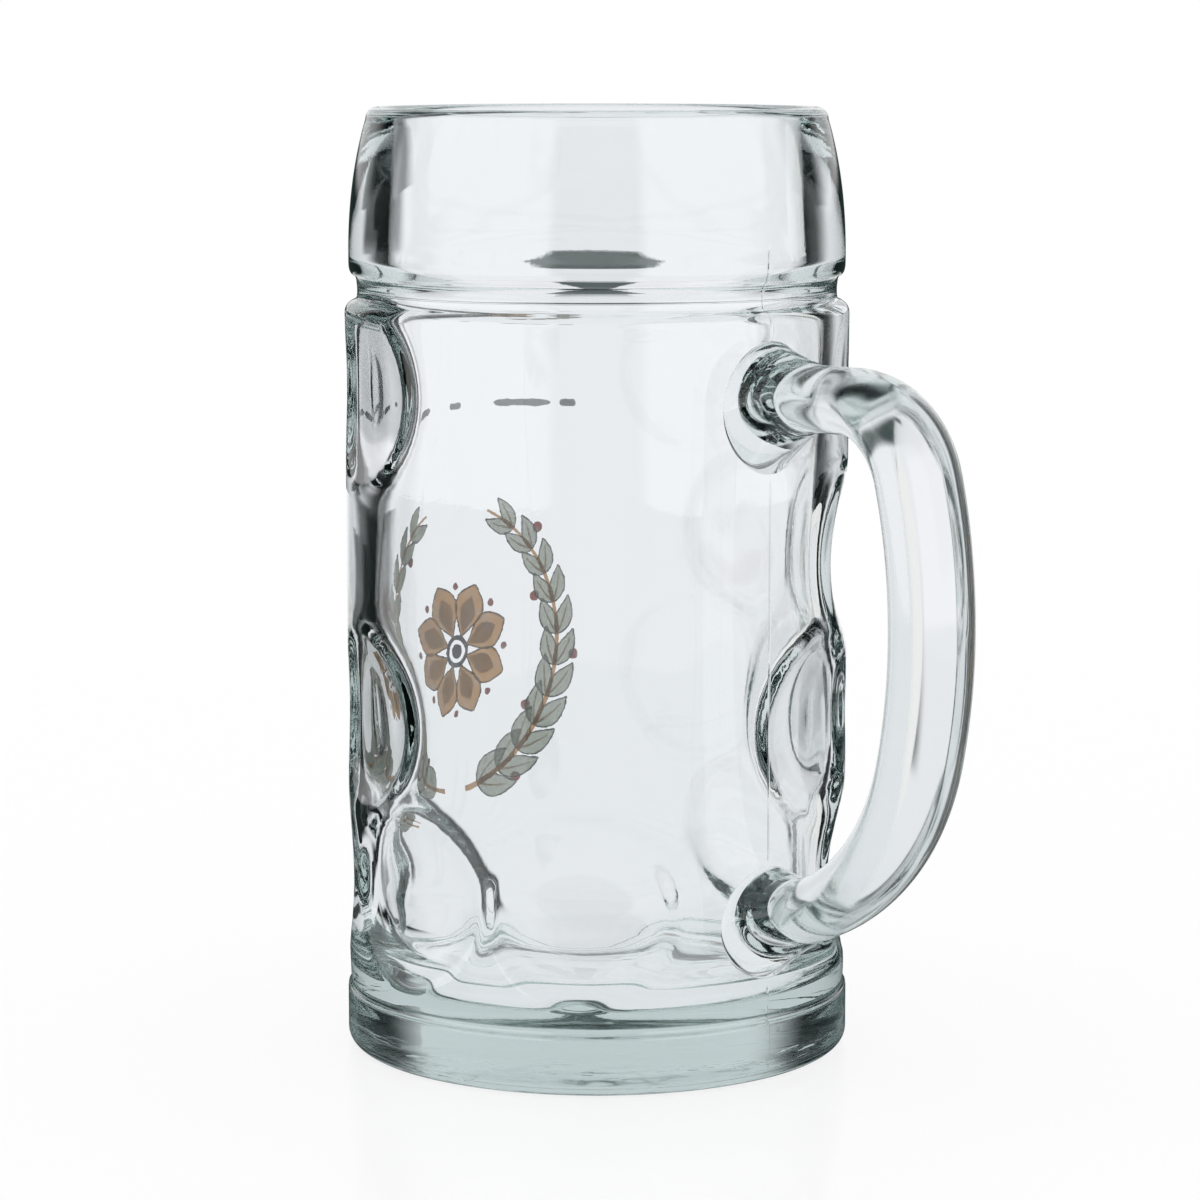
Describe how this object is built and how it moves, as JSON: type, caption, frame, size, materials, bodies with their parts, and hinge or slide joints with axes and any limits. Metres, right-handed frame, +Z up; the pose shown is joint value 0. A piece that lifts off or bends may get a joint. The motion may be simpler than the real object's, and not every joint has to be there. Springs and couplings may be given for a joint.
{
  "type": "beer mug",
  "caption": "Tall dimpled glass beer mug with a thick base, a grooved neck under a leaning drinking collar, a bowed bar handle and fired enamel marks.",
  "frame": {"origin": "centre of the flat underside, where the mug stands", "axes": "+Z up along the axis of the body, +X from the axis towards the handle"},
  "size_m": [0.1257, 0.0844, 0.157],
  "materials": {
    "clear_glass": "clear moulded soda-lime glass, faint grey-green in the thick parts, fire polished",
    "green_enamel": "fired enamel, satin grey-green",
    "ochre_enamel": "fired enamel, satin ochre",
    "grey_enamel": "fired enamel, satin grey"
  },
  "bodies": {
    "root": {"mug_body": "clear_glass", "handle": "clear_glass", "emblem_wreath": "green_enamel", "emblem_rosette": "ochre_enamel", "fill_dash_centre": "grey_enamel", "fill_dash_left": "grey_enamel", "fill_dash_right": "grey_enamel", "fill_dash_left_end": "grey_enamel", "fill_dash_right_end": "grey_enamel"}
  },
  "joints": []
}
